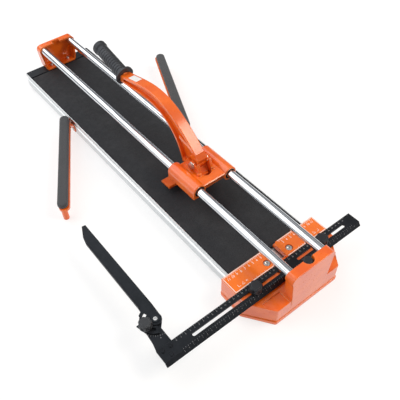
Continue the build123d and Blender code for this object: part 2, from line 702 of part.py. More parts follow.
def wheel_axle():
    pin = rod_x(WHEEL_Y, WHEEL_Z, AXLE_R, -FORK_HALF, FORK_HALF)
    for sign in (-1, 1):
        pin += rod_x(WHEEL_Y, WHEEL_Z, 2.6, sign * FORK_HALF, sign * (FORK_HALF + 1))
    return pin


def scoring_wheel():
    """Carbide disc ground to a sharp edge, with a flat hub."""
    half = [(AXLE_R + 0.03, 1.2), (6.0, 1.2), (WHEEL_R, 0.1)]
    points = half + [(r, -w) for r, w in reversed(half)]
    disc = revolve(Plane.XZ * outline(points), Axis.Z)
    return Pos(0, WHEEL_Y, WHEEL_Z) * Rot(0, 90, 0) * disc


def foot_pin():
    reach = FOOT_LUG[1] + 1
    pin = rod_x(FOOT_PIN_Y, FOOT_PIN_Z, FOOT_PIN_R, -reach, reach)
    return chamfer(pin.edges(), 0.6)


def breaker_foot():
    """Cross bar that presses both halves of the tile down, with two lugs for its pin."""
    low = FOOT_LOW
    section = [(FOOT_FRONT, low), (FOOT_FRONT, FOOT_HIGH - 1.5), (FOOT_FRONT + 1.5, FOOT_HIGH),
               (FOOT_REAR - 1.5, FOOT_HIGH), (FOOT_REAR, FOOT_HIGH - 1.5), (FOOT_REAR, low)]
    bar = side(section, -FOOT_HALF, FOOT_HALF)
    lug_front = FOOT_PIN_Y - FOOT_LUG_R
    lug_rear = FOOT_PIN_Y + FOOT_LUG_R
    for sign in (-1, 1):
        inner, outer = sign * FOOT_LUG[0], sign * FOOT_LUG[1]
        bar += block(inner, outer, lug_front, lug_rear, low + 3, FOOT_PIN_Z)
        bar += rod_x(FOOT_PIN_Y, FOOT_PIN_Z, FOOT_LUG_R, inner, outer)
    # relief over the scored line
    bar -= block(-9.0, 9.0, 200, 300, low - 1, low + 2.0)
    return bar - rod_x(FOOT_PIN_Y, FOOT_PIN_Z, FOOT_PIN_R + FIT, -20, 20)


def breaker_pads():
    def one(sign):
        outer = sign * (FOOT_HALF - 2)
        return block(sign * 16.0, outer, FOOT_FRONT + 3, FOOT_REAR - 3, FOOT_LOW - 2.5, FOOT_LOW)
    return both_sides(one)


# ---------- angle guide ----------

def slot_z(x0, x1, y, wide, z0, z1):
    radius = wide / 2
    middle = block(x0 + radius, x1 - radius, y - radius, y + radius, z0, z1)
    return middle + rod_z(x0 + radius, y, radius, z0, z1) + rod_z(x1 - radius, y, radius, z0, z1)


def ruler_bar():
    """Angle bar with two long slots and a sloping front lip."""
    under = RULER_TOP - RULER_THICK
    section = [(RULER_REAR, under), (RULER_REAR, RULER_TOP), (RULER_FRONT, RULER_TOP), (RULER_LIP, 51.5),
               (RULER_LIP + 3.0, 50.6), (RULER_FRONT + 1.2, under)]
    bar = side(section, RULER_LEFT, RULER_RIGHT)
    for x0, x1 in (LEFT_SLOT, RIGHT_SLOT):
        bar -= slot_z(x0, x1, SLOT_Y, SLOT_WIDE, under - 5, RULER_TOP + 1)
    for x, y in RIVETS:
        bar -= rod_z(x, y, RIVET_R, 40, 70)
    return bar


def end_plate():
    """Plate under the left end of the ruler that carries the angle arm."""
    top = RULER_TOP - RULER_THICK - 0.02
    points = [(-300.0, -68.0), (-267.0, -68.0), (-267.0, -10.0), (-258.0, 0.0), (-262.0, 18.0),
              (-300.0, 20.0), (-294.0, -3.0), (-296.0, -25.0), (-300.0, -42.0)]
    plate = plan(points, top - 3.5, top)
    plate += rod_z(*ARM_PIVOT, 11.5, top - 3.5, top)
    plate -= rod_z(*ARM_PIVOT, ARM_EYELET_R, 40, 60)
    plate -= rod_z(*ARM_KNOB, STUD_R + FIT, 40, 60)
    for x, y in RIVETS:
        plate -= rod_z(x, y, RIVET_R, 40, 70)
    return plate


def ruler_rivets():
    group = None
    for x, y in RIVETS:
        shank = rod_z(x, y, RIVET_R, 53.0, RULER_TOP + 0.3)
        head = Pos(x, y, RULER_TOP + 0.9) * Cone(4.0, 2.4, 1.4)
        rivet = shank + head + rod_z(x, y, 3.6, 52.4, 53.4)
        group = rivet if group is None else group + rivet
    return group


def arm_eyelet():
    """Tubular rivet that the angle arm turns on."""
    x, y = ARM_PIVOT
    tube = rod_z(x, y, ARM_EYELET_R, 52.6, 62.0)
    tube += rod_z(x, y, ARM_EYELET_R + 2.4, 61.0, 62.2)
    tube += rod_z(x, y, ARM_EYELET_R + 2.0, 52.4, 53.3)
    return tube - rod_z(x, y, 3.2, 40, 70)


def guide_arm():
    """Long flat blade with an arc slot round its pivot, a low lip on its outer edge and a guide flange."""
    x0, y0 = ARM_PIVOT
    low = RULER_TOP - RULER_THICK + 0.1
    high = RULER_TOP + 0.3
    blade = [(x0 + 11.5, y0), (x0 + 13.0, 40.0), (-253.5, 279.0), (-261.5, ARM_TIP_Y), (-273.5, 254.0),
             (-277.8, 234.0), (-278.0, 44.0), (-279.0, 34.0), (x0 - 20.0, y0 + 20.0)]
    arm = plan(blade, low, high)
    arm += rod_z(x0, y0, 12.0, low, high)
    arm += ring_sector(x0, y0, 14.0, 29.0, 100.0, 250.0, low, high)
    arm += plan([(x0 - 15, y0 + 4), (x0 - 4, y0 + 11), (x0 - 10, y0 + 30), (x0 - 20, y0 + 24)], low, high)
    # low lip that stiffens the outer edge
    arm += plan([(-278.0, 44.0), (-277.8, 234.0), (-275.8, 234.0), (-276.0, 44.0)], low, high + 3.0)
    # flange along the inner edge, against which the tile lies
    arm += plan([(-252.8, 42.0), (-253.5, 272.0), (-256.0, 272.0), (-255.3, 42.0)], ARM_FLANGE_LOW, high)
    slot_half = SLOT_WIDE / 2
    arm -= ring_sector(x0, y0, ARM_SLOT_R - slot_half, ARM_SLOT_R + slot_half, 112.0, 238.0, 40, 80)
    return arm - rod_z(x0, y0, ARM_EYELET_R + FIT, 40, 80)


def ring_sector(x, y, r0, r1, a0, a1, z0, z1):
    """Part of a flat ring between two angles, in degrees anticlockwise from +X."""
    ring = Circle(r1) - Circle(r0)
    reach = 3 * r1
    mid = (a0 + a1) / 2
    steps = (a0, (a0 + mid) / 2, mid, (mid + a1) / 2, a1)
    wedge = outline([(0, 0)] + [(reach * cos(a * pi / 180), reach * sin(a * pi / 180)) for a in steps])
    return extrude(Plane.XY.offset(z0) * Pos(x, y) * (ring & wedge), z1 - z0)


def lobed_knob(x, y, radius, z0, z1, stud_r, stud_low):
    """Plastic knob with finger scallops, on a threaded stud."""
    body = rod_z(x, y, radius, z0, z1)
    body = fillet(body.edges().group_by(Axis.Z)[-1], 2.5)
    for i in range(KNOB_LOBES):
        angle = 2 * pi * i / KNOB_LOBES
        reach = radius + 2.6
        body -= rod_z(x + reach * cos(angle), y + reach * sin(angle), 4.6, z0 + 2.5, z1 + 1)
    body += rod_z(x, y, radius * 0.62, z1 - 3.0, z1 + 0.6)
    return body + rod_z(x, y, stud_r, stud_low, z0 + 1)


def ruler_washers():
    def one(sign):
        disc = rod_z(sign * RULER_KNOB_X, SLOT_Y, 9.0, RULER_TOP + 0.1, RULER_TOP + 1.6)
        return disc - rod_z(sign * RULER_KNOB_X, SLOT_Y, STUD_R + FIT, 50, 70)
    return both_sides(one)


# ---------- side arms ----------

def along_arm(pivot, way, distance):
    return (pivot[0] + way[0] * distance, pivot[1] + way[1] * distance)


def stadium(pivot, way, half, start, stop, z0, z1, aside=0.0):
    """Long bar in plan with round ends, from start to stop along its arm, shifted to its left."""
    angle = degrees(atan2(way[1], way[0]))
    middle = along_arm(pivot, way, (start + stop) / 2)
    shape = Pos(*middle) * Rot(0, 0, angle) * Pos(0, aside) * SlotOverall(stop - start, 2 * half)
    return extrude(Plane.XY.offset(z0) * shape, z1 - z0)


def side_arm_bar(pivot, way, long):
    """Flat bar under the foam, proud of it on the side of the bed."""
    bar = stadium(pivot, way, BAR_HALF, -BAR_HALF, long + 10, BAR_LOW + 0.3, BAR_HIGH, BAR_ASIDE)
    bar -= rod_z(*pivot, PIVOT_R + FIT, 20, BAR_HIGH - 2)
    leg = along_arm(pivot, way, long)
    return bar - rod_z(*leg, PIVOT_R, 20, BAR_HIGH - 2)


def side_arm_leg(pivot, way, long):
    """Round leg under the free end of the arm."""
    x, y = along_arm(pivot, way, long)
    leg = rod_z(x, y, LEG_R, 0.3, BAR_LOW + 0.3)
    leg = fillet(leg.edges().group_by(Axis.Z)[0], 1.5)
    return leg + rod_z(x, y, PIVOT_R - FIT, BAR_LOW, BAR_HIGH - 2.5)


def side_arm_foam(pivot, way, long):
    foam = stadium(pivot, way, FOAM_HALF, -FOAM_HALF, long + FOAM_OVERHANG, BAR_HIGH, FOAM_TOP)
    return fillet(foam.edges().group_by(Axis.Z)[-1], 3.5)


def side_arm_bracket(sign, y):
    """Lug on the side of the bed that carries a side arm."""
    body = block(sign * BED_HALF, sign * (BED_HALF + 2.2), y - 26, y + 14, 12.0, BAR_LOW)
    body += block(sign * BED_HALF, sign * SIDE_ARM_X, y - FOAM_HALF, y + FOAM_HALF, LUG_LOW, BAR_LOW)
    body += rod_z(sign * SIDE_ARM_X, y, FOAM_HALF, LUG_LOW, BAR_LOW)
    body -= rod_z(sign * SIDE_ARM_X, y, PIVOT_R, LUG_LOW - 5, BAR_LOW + 5)
    return body - rod_x(y - LUG_SCREW_BACK, LUG_SCREW_Z, LUG_SCREW_R, sign * 90, sign * 110)


def arm_pivot_bolts():
    group = None
    for sign, y in SIDE_ARMS:
        x = sign * SIDE_ARM_X
        bolt = rod_z(x, y, PIVOT_R, LUG_LOW, BAR_HIGH - 2.5) + hex_z(x, y, NUT_FLATS, LUG_LOW - 5.5, LUG_LOW)
        group = bolt if group is None else group + bolt
    return group


def arm_bracket_screws():
    group = None
    face = BED_HALF + 2.2
    for sign, y in SIDE_ARMS:
        screw = rod_x(y - LUG_SCREW_BACK, LUG_SCREW_Z, LUG_SCREW_R - FIT, sign * 92, sign * face)
        screw += rod_x(y - LUG_SCREW_BACK, LUG_SCREW_Z, 4.5, sign * face, sign * (face + 2.6))
        group = screw if group is None else group + screw
    return group


# ---------- whole object ----------

def build():
    node("base_tray", base_tray())
    node("left_pad", pad(-1))
    node("right_pad", pad(1))
    node("breaking_rib", breaking_rib())
    node("rear_crossbar", rear_crossbar())
    node("base_feet", base_feet())
    node("front_block", front_block())
    node("block_bottom_plate", block_bottom_plate())
    node("bottom_plate_screws", bottom_plate_screws())
    node("left_scale_plate", scale_plate(-1))
    node("right_scale_plate", scale_plate(1))
    node("scale_plate_screws", scale_plate_screws())
    node("scale_plate_nuts", scale_plate_nuts())
    node("left_rail", rail(-1))
    node("right_rail", rail(1))
    node("rear_bracket", rear_bracket())
    node("rear_bracket_screws", rear_bracket_screws())
    node("rail_end_bolts", rail_end_bolts())
    node("carriage_body", carriage_body())
    node("left_bush", bush(-1))
    node("right_bush", bush(1))
    node("bush_seals", bush_seals())
    node("pivot_bolt", pivot_bolt())
    node("pivot_nut", pivot_nut())
    node("pivot_washers", pivot_washers())
    node("handle_arm", handle_arm())
    node("rubber_grip", rubber_grip())
    node("wheel_holder", wheel_holder())
    node("holder_screw", holder_screw())
    node("wheel_axle", wheel_axle())
    node("scoring_wheel", scoring_wheel())
    node("foot_pin", foot_pin())
    node("breaker_foot", breaker_foot())
    node("breaker_pads", breaker_pads())
    node("ruler_bar", ruler_bar())
    node("end_plate", end_plate())
    node("ruler_rivets", ruler_rivets())
    node("arm_eyelet", arm_eyelet())
    node("guide_arm", guide_arm())
    node("ruler_washers", ruler_washers())
    for name, sign in (("left_ruler_knob", -1), ("right_ruler_knob", 1)):
        x = sign * RULER_KNOB_X
        node(name, lobed_knob(x, SLOT_Y, RULER_KNOB_R, RULER_TOP + 1.7, RULER_KNOB_TOP, STUD_R, 40.5))
    node("arm_knob", lobed_knob(*ARM_KNOB, ARM_KNOB_R, RULER_TOP + 0.6, ARM_KNOB_TOP, STUD_R, 50.5))
    node("centre_knob", lobed_knob(0, NOTCH_Y, CENTRE_KNOB_R, 100.0, 118.0, CENTRE_STUD_R, 76.0))
    arms = (("left", LEFT_ARM_WAY, LEFT_ARM_LONG), ("right", RIGHT_ARM_WAY, RIGHT_ARM_LONG))
    for (sign, y), (side_name, way, long) in zip(SIDE_ARMS, arms):
        pivot = (sign * SIDE_ARM_X, y)
        node(f"{side_name}_arm_bracket", side_arm_bracket(sign, y))
        node(f"{side_name}_arm_bar", side_arm_bar(pivot, way, long))
        node(f"{side_name}_arm_leg", side_arm_leg(pivot, way, long))
        node(f"{side_name}_arm_foam", side_arm_foam(pivot, way, long))
    node("arm_pivot_bolts", arm_pivot_bolts())
    node("arm_bracket_screws", arm_bracket_screws())


build()
os.makedirs("parts", exist_ok=True)
for name, shape in NODES.items():
    export_step(shape, f"parts/{name}.step")
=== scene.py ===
"""Looks of the manual tile cutter: materials, printed scales, foam sleeves, light and camera.

Lengths are in metres. X runs along the fence, Y from the fence to the rear, and Z up.
"""
import json
import math
import random

import bpy
from mathutils import Matrix, Vector
from mathutils.bvhtree import BVHTree


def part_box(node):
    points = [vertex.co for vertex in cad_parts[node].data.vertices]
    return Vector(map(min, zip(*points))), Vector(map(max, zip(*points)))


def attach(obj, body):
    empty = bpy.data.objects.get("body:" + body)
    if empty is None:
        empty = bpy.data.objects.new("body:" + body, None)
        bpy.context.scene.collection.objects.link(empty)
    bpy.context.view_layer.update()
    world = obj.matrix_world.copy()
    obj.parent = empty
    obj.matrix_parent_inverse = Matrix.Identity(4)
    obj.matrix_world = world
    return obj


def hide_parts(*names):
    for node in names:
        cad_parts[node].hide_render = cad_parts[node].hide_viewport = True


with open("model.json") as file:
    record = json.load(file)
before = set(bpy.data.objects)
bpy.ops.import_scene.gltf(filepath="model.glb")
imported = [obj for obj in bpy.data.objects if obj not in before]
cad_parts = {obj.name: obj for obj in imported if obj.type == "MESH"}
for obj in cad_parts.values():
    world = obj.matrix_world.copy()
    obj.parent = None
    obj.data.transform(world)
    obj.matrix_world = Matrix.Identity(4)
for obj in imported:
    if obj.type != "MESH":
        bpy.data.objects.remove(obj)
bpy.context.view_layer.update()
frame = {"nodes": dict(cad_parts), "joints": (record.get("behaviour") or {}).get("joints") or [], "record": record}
NODES = frame["nodes"]
JOINTS = {joint["name"]: joint for joint in frame["joints"]}
MM = 0.001

# ---- camera: where it stands, how it is turned, and its framing ----
CAMERA_PLACE = Vector((-0.46251, -0.40090, 0.86566))
CAMERA_AZIMUTH = math.radians(-34.47)
CAMERA_ELEVATION = math.radians(50.08)
CAMERA_ROLL = math.radians(-3.99)
CAMERA_LENS = 45.70
CAMERA_SHIFT = (0.0310, 0.0496)
CAMERA_SENSOR = 36.0
CAMERA_REACH = 20.0

# ---- studio: each lamp has a name, place, width, height, power and tint ----
WHITE = (1.0, 1.0, 1.0)
LAMPS = (
    ("rear", (-0.7, 2.3, 2.3), 3.6, 3.0, 60.0, WHITE),
    ("left", (-2.4, 1.3, 1.2), 2.2, 1.6, 16.0, WHITE),
    ("right", (1.2, -1.0, 2.0), 1.1, 1.1, 32.0, (1.0, 0.93, 0.82)),
)
LAMP_AIM = Vector((0, 0.35, 0.05))
FLOOR_REACH = 60.0
FLOOR_GLOW = 0.66

# ---- surround: colours over the height of a direction, and a dark stripe across it ----
SKY_STRENGTH = 0.60
SKY_HEIGHTS = ((0.0, (0.36, 0.365, 0.38)), (0.42, (0.42, 0.43, 0.45)), (0.80, WHITE))
STRIPE = (0.05, 0.05, 0.05)
SKY_SIDES = ((0.0, WHITE), (0.22, WHITE), (0.25, STRIPE), (0.36, STRIPE), (0.40, WHITE), (1.0, WHITE))

# ---- prints: how the ink lies in its face, and where each scale stands ----
INK_SINK = 0.03 * MM
INK_RISE = 0.06 * MM
DIGIT_LIFT = 0.02 * MM
DIGIT_HALF = 0.04 * MM
FENCE_TICK = 2.5 * MM
FENCE_FIRST_TICK = 10  # counted in ticks from the cutting line
FENCE_SIDE_MARGIN = 1.6 * MM
FENCE_END_MARGIN = 1.4 * MM
FENCE_BORDER = 1.2 * MM
FENCE_SIDE_BORDER = 1.1 * MM
FENCE_LINE = 0.7 * MM
FENCE_SIGNS = 106 * MM  # outermost corner of the angle signs, from the cutting line
RULER_START = 40 * MM
RULER_TICK = 5 * MM
RULER_LINE = 0.35 * MM
RULER_FLAT = 27.6 * MM  # width of the ruler's flat top
LIP_TICK = 10 * MM
LIP_FOOT = 51.5 * MM  # height of the lip's lower edge
LIP_GAP = 1.4 * MM
ARC_RADIUS = 30.5 * MM
ARC_START = 205  # degrees, as is the step
ARC_STEP = 7.5
ARC_TICKS = 9
ARC_DOT = (-12.8 * MM, -34.5 * MM)  # from the pivot of the angle arm
ARC_DOT_RADIUS = 0.9 * MM

# ---- label on the lever: its width, where it starts and ends, and its film ----
LABEL_HALF = 8 * MM
LABEL_START = 420 * MM
LABEL_END = 453 * MM
LABEL_COLUMNS = 12
LABEL_ROWS = 24
FILM_RISE = 0.12 * MM
FILM_SINK = 0.10 * MM

# ---- foam sleeves: outline as inset in mm and share of the height, then the dents ----
SLEEVE_HALF = 12.0 * MM
SLEEVE_OUTLINE = ((1.2, 0.0), (0.3, 0.12), (0.0, 0.3), (0.0, 0.62), (0.5, 0.80),
                  (1.7, 0.92), (3.6, 0.975), (6.0, 0.995), (8.5, 1.0), (10.6, 1.0))
SLEEVE_END_STEPS = 10
SLEEVE_SIDE_STEPS = 44
LONG_SIDE = 100 * MM
DENTS = 16
DENT_LENGTH = 14 * MM
DENT_WIDTH = 0.8
DENT_DROP = 0.55 * MM
DENT_SQUEEZE = 0.35 * MM

# ---- eyelet: radius inside which a highlight is painted, and the width of its edge ----
BRIGHT_BORE = 3.6 * MM
BORE_FADE = 0.2 * MM


# ---------- node helpers ----------

class Shader:
    """A small builder for one procedural material with a Principled shader."""

    def __init__(self, name, **constants):
        self.material = bpy.data.materials.new(name)
        self.material.use_nodes = True
        self.tree = self.material.node_tree
        self.bsdf = self.tree.nodes["Principled BSDF"]
        for socket, value in constants.items():
            self.bsdf.inputs[socket.replace("_", " ")].default_value = value
        self.place = self.add("ShaderNodeTexCoord").outputs["Object"]
        self.normal = None

    def add(self, kind, **settings):
        """A new node with its settings."""
        node = self.tree.nodes.new(kind)
        for key, value in settings.items():
            setattr(node, key, value)
        return node

    def link(self, source, target):
        self.tree.links.new(source, target)

    def stretched(self, scale, shift=(0, 0, 0)):
        """Object coordinates stretched by a scale per axis, then shifted."""
        mapping = self.add("ShaderNodeMapping")
        mapping.inputs["Scale"].default_value = scale
        mapping.inputs["Location"].default_value = shift
        self.link(self.place, mapping.inputs["Vector"])
        return mapping.outputs["Vector"]

    def noise(self, scale, detail=3.0, roughness=0.55, stretch=None):
        """Soft noise, drawn out along the axes where stretch is small."""
        node = self.add("ShaderNodeTexNoise")
        node.inputs["Scale"].default_value = scale
        node.inputs["Detail"].default_value = detail
        node.inputs["Roughness"].default_value = roughness
        self.link(self.stretched(stretch) if stretch else self.place, node.inputs["Vector"])
        return node.outputs["Fac"]

    def cells(self, scale):
        """Distance from the middle of the nearest cell, for grain and pores."""
        node = self.add("ShaderNodeTexVoronoi")
        node.inputs["Scale"].default_value = scale
        self.link(self.place, node.inputs["Vector"])
        return node.outputs["Distance"]

    def off_axis(self, x, y):
        """Distance from an upright axis through a point."""
        length = self.add("ShaderNodeVectorMath", operation="LENGTH")
        self.link(self.stretched((1, 1, 0), (-x, -y, 0)), length.inputs[0])
        return length.outputs["Value"]

    def ramp(self, source, low, high, start=0.0, stop=1.0):
        """A value that goes from start to stop while the source goes from low to high."""
        node = self.add("ShaderNodeMapRange")
        node.inputs["From Min"].default_value = low
        node.inputs["From Max"].default_value = high
        node.inputs["To Min"].default_value = start
        node.inputs["To Max"].default_value = stop
        self.link(source, node.inputs["Value"])
        return node.outputs["Result"]

    def mix(self, factor, first, second):
        """A colour between two colours or sockets."""
        node = self.add("ShaderNodeMix", data_type="RGBA")
        self.link(factor, node.inputs["Factor"])
        first_socket, second_socket = node.inputs[6:8]
        for socket, value in ((first_socket, first), (second_socket, second)):
            if isinstance(value, tuple):
                socket.default_value = (*value, 1.0)
            else:
                self.link(value, socket)
        return node.outputs[2]

    def blend(self, source, low, high, first, second):
        """A colour that goes from first to second while the source goes from low to high."""
        return self.mix(self.ramp(source, low, high), first, second)

    def math(self, operation, first, second):
        """A sum or product of two sockets or numbers."""
        node = self.add("ShaderNodeMath", operation=operation)
        for socket, value in zip(node.inputs, (first, second)):
            if isinstance(value, float):
                socket.default_value = value
            else:
                self.link(value, socket)
        return node.outputs[0]

    def colour(self, source):
        self.link(source, self.bsdf.inputs["Base Color"])

    def rough(self, source, smooth, dull, low=0.3):
        """Roughness that goes from smooth to dull with the source."""
        self.link(self.ramp(source, low, 0.7, smooth, dull), self.bsdf.inputs["Roughness"])

    def soft_edges(self, radius):
        """Rounds sharp edges a little in the shading."""
        bevel = self.add("ShaderNodeBevel", samples=6)
        bevel.inputs["Radius"].default_value = radius
        self.normal = bevel.outputs["Normal"]
        self.link(self.normal, self.bsdf.inputs["Normal"])

    def bump(self, height, distance, strength):
        """Raises the surface by a height, on top of the bumps before it."""
        node = self.add("ShaderNodeBump")
        node.inputs["Distance"].default_value = distance
        node.inputs["Strength"].default_value = strength
        self.link(height, node.inputs["Height"])
        if self.normal is not None:
            self.link(self.normal, node.inputs["Normal"])
        self.normal = node.outputs["Normal"]
        self.link(self.normal, self.bsdf.inputs["Normal"])

    def painted_edge_highlight(self, low, high):
        """Where a highlight is painted: sharp edges, broken up by noise. Needs soft_edges first."""
        flat = self.add("ShaderNodeNewGeometry").outputs["True Normal"]
        turn = self.add("ShaderNodeVectorMath", operation="DOT_PRODUCT")
        self.link(flat, turn.inputs[0])
        self.link(self.normal, turn.inputs[1])
        still_flat = 0.985
        full_edge = 0.86
        edge = self.ramp(turn.outputs["Value"], still_flat, full_edge)
        patches = self.ramp(self.noise(160.0, 4.0, 0.7), low, high)
        return self.math("MULTIPLY", edge, patches)


# ---------- materials ----------

def orange_paint():
    """Glossy powder coat on a rough casting: orange peel, casting ripple and painted highlights along the edges.
    """
    deep = (0.80, 0.110, 0.004)
    bright = (0.92, 0.165, 0.006)
    speck = (0.62, 0.070, 0.005)
    # painted highlight: a light orange laid along the sharp edges, broken up by noise
    painted_highlight = (0.96, 0.46, 0.18)
    s = Shader("orange_paint", Coat_Weight=0.80, Coat_Roughness=0.16, Specular_IOR_Level=0.35)
    s.soft_edges(1.1 * MM)
    body = s.blend(s.noise(26.0), 0.35, 0.7, deep, bright)
    body = s.mix(s.ramp(s.cells(900.0), 0.0, 0.10, 0.75, 0.0), body, speck)
    s.colour(s.mix(s.painted_edge_highlight(0.34, 0.54), body, painted_highlight))
    s.rough(s.noise(300.0, 2.0), 0.26, 0.40)
    s.bump(s.noise(55.0, 4.0, 0.5), 0.35 * MM, 0.5)
    s.bump(s.noise(800.0, 2.0), 0.05 * MM, 0.7)
    return s.material


def plate_paint():
    """The same paint, smoother and a little lighter, on the scale plates."""
    deep = (0.84, 0.145, 0.006)
    bright = (0.93, 0.190, 0.009)
    s = Shader("plate_paint", Coat_Weight=0.80, Coat_Roughness=0.12, Specular_IOR_Level=0.35)
    s.soft_edges(0.4 * MM)
    s.colour(s.blend(s.noise(40.0), 0.3, 0.7, deep, bright))
    s.rough(s.noise(420.0, 2.0), 0.26, 0.36)
    s.bump(s.noise(900.0, 2.0), 0.07 * MM, 0.8)
    return s.material


def rail_chrome():
    """Polished rail with faint long scratches and slightly worn stretches."""
    dull = (0.60, 0.62, 0.65)
    bright = (0.72, 0.74, 0.77)
    s = Shader("rail_chrome", Metallic=1.0)
    worn = s.noise(9.0, 2.0, 0.5)
    scratches = s.noise(260.0, 1.0, 0.5, (1.0, 0.002, 1.0))
    shine = s.math("ADD", s.math("MULTIPLY", scratches, 0.3), s.math("MULTIPLY", worn, 0.7))
    s.colour(s.blend(shine, 0.3, 0.7, dull, bright))
    s.rough(shine, 0.09, 0.14)
    s.bump(scratches, 0.0005 * MM, 0.2)
    return s.material


def bed_aluminium():
    """Anodised extrusion with die lines along its length."""
    dull = (0.58, 0.60, 0.61)
    bright = (0.74, 0.76, 0.77)
    s = Shader("bed_aluminium", Metallic=1.0)
    s.soft_edges(0.4 * MM)
    lines = s.noise(700.0, 3.0, 0.6, (1.0, 0.01, 1.0))
    s.colour(s.blend(lines, 0.3, 0.7, dull, bright))
    s.rough(s.noise(60.0, 4.0), 0.30, 0.42)
    s.bump(lines, 0.03 * MM, 0.7)
    return s.material


def mat_rubber():
    """Dark rubber sheet with a fine leathery grain and a little dust."""
    hollow = (0.020, 0.0205, 0.023)
    ridge = (0.036, 0.037, 0.041)
    dusty = (0.055, 0.056, 0.060)
    s = Shader("mat_rubber", Specular_IOR_Level=0.16)
    s.soft_edges(0.6 * MM)
    dust = s.ramp(s.noise(18.0, 6.0, 0.65), 0.50, 0.80, 0.0, 0.55)
    grain = s.cells(620.0)
    s.colour(s.mix(dust, s.blend(grain, 0.0, 0.6, hollow, ridge), dusty))
    s.rough(s.noise(90.0, 4.0), 0.62, 0.82)
    s.bump(grain, 0.22 * MM, 0.8)
    s.bump(s.noise(2600.0, 2.0), 0.05 * MM, 0.6)
    return s.material


def black_coat(name, tone, smooth, dull):
    """Satin black powder coat on steel, painted lighter at its edges as a highlight."""
    dark = (tone, tone * 1.02, tone * 1.2)
    light = (tone * 1.6, tone * 1.65, tone * 1.95)
    # painted highlight: a lighter grey laid along the sharp edges, broken up by noise
    painted_highlight = (0.12, 0.125, 0.135)
    s = Shader(name, Specular_IOR_Level=0.18, Specular_Tint=(0.70, 0.86, 1.0, 1.0))
    s.soft_edges(0.35 * MM)
    base = s.blend(s.noise(50.0, 4.0), 0.35, 0.7, dark, light)
    s.colour(s.mix(s.painted_edge_highlight(0.44, 0.62), base, painted_highlight))
    s.rough(s.noise(400.0, 2.0), smooth, dull)
    s.bump(s.noise(1400.0, 3.0), 0.03 * MM, 0.7)
    return s.material


def moulded_plastic(name, colour, smooth, dull):
    """Matt moulded plastic with spark-eroded texture and painted highlights on its corners."""
    # painted highlight: a lighter colour laid on the sharp corners and edges
    painted_highlight = tuple(c * 3.0 + 0.02 for c in colour)
    s = Shader(name, Specular_IOR_Level=0.32, Specular_Tint=(0.82, 0.90, 1.0, 1.0))
    s.soft_edges(0.8 * MM)
    s.colour(s.mix(s.painted_edge_highlight(0.34, 0.54), colour, painted_highlight))
    s.rough(s.noise(350.0), smooth, dull)
    s.bump(s.cells(2200.0), 0.05 * MM, 0.7)
    return s.material


def grip_rubber():
    """Soft black rubber, dull, with a greasy sheen where hands rub it."""
    black = (0.026, 0.026, 0.028)
    greasy = (0.044, 0.044, 0.047)
    s = Shader("grip_rubber", Specular_IOR_Level=0.42, Specular_Tint=(0.80, 0.88, 1.0, 1.0))
    s.soft_edges(0.5 * MM)
    s.colour(s.blend(s.noise(30.0), 0.45, 0.65, black, greasy))
    s.rough(s.noise(45.0, 4.0), 0.34, 0.56, low=0.35)
    s.bump(s.noise(1500.0), 0.07 * MM, 0.8)
    return s.material


def foam():
    """Closed-cell foam: small pores, soft pale sheen."""
    pore = (0.026, 0.027, 0.030)
    skin = (0.066, 0.068, 0.073)
    s = Shader("foam", Specular_IOR_Level=0.25, Sheen_Weight=0.25, Sheen_Roughness=0.5)
    pores = s.cells(1500.0)
    s.colour(s.blend(pores, 0.05, 0.45, pore, skin))
    s.rough(s.noise(200.0), 0.78, 0.95)
    s.bump(pores, 0.30 * MM, 0.7)
    s.bump(s.noise(120.0), 0.5 * MM, 0.5)
    return s.material


def bright_steel(name, tone, smooth, dull):
    """Zinc-plated or ground steel with fine turning marks and faint yellowing."""
    warm = (tone, tone * 0.98, tone * 0.93)
    cool = (tone * 1.1, tone * 1.11, tone * 1.14)
    s = Shader(name, Metallic=1.0)
    s.soft_edges(0.3 * MM)
    s.colour(s.blend(s.noise(80.0, 4.0), 0.35, 0.65, warm, cool))
    s.rough(s.noise(500.0), smooth, dull)
    s.bump(s.noise(900.0, 2.0, 0.6, (1.0, 1.0, 3.0)), 0.03 * MM, 0.6)
    return s.material


def eyelet_steel():
    """Blackened eyelet whose bore and lip are painted near-white round the pivot of the angle arm, as a painted
    highlight in the hole.
    """
    black = (0.011, 0.0115, 0.013)
    dull = (0.74, 0.75, 0.76)
    bright = (0.92, 0.92, 0.92)
    s = Shader("eyelet_steel", Specular_IOR_Level=0.3, Specular_Tint=(0.70, 0.86, 1.0, 1.0))
    x0, y0, _ = JOINTS["angle_arm_pivot"]["pos_m"]
    # painted highlight: the bore and lip are coloured near-white instead of black
    painted_highlight = s.ramp(s.off_axis(x0, y0), BRIGHT_BORE + BORE_FADE, BRIGHT_BORE)
    s.colour(s.mix(painted_highlight, black, s.blend(s.noise(600.0), 0.3, 0.7, dull, bright)))
    s.rough(s.noise(400.0, 2.0), 0.30, 0.44)
    s.bump(s.noise(1400.0), 0.02 * MM, 0.6)
    return s.material


def bronze():
    """Sintered bush metal with open pores."""
    dark = (0.48, 0.32, 0.14)
    light = (0.66, 0.46, 0.22)
    s = Shader("bronze", Metallic=1.0)
    s.colour(s.blend(s.noise(120.0), 0.3, 0.7, dark, light))
    s.rough(s.noise(500.0), 0.32, 0.48)
    s.bump(s.cells(1800.0), 0.04 * MM, 0.6)
    return s.material


def print_ink():
    """Worn screen-printed white."""
    worn = (0.86, 0.80, 0.74)
    white = (0.95, 0.93, 0.90)
    s = Shader("print_ink", Specular_IOR_Level=0.4)
    s.colour(s.blend(s.noise(700.0), 0.42, 0.62, worn, white))
    s.rough(s.noise(300.0), 0.40, 0.55)
    return s.material


def ruler_ink():
    """Thin grey-white print on the black ruler."""
    worn = (0.20, 0.20, 0.21)
    grey = (0.46, 0.46, 0.47)
    s = Shader("ruler_ink", Specular_IOR_Level=0.4)
    s.colour(s.blend(s.noise(900.0), 0.35, 0.65, worn, grey))
    s.rough(s.noise(300.0), 0.45, 0.60)
    return s.material


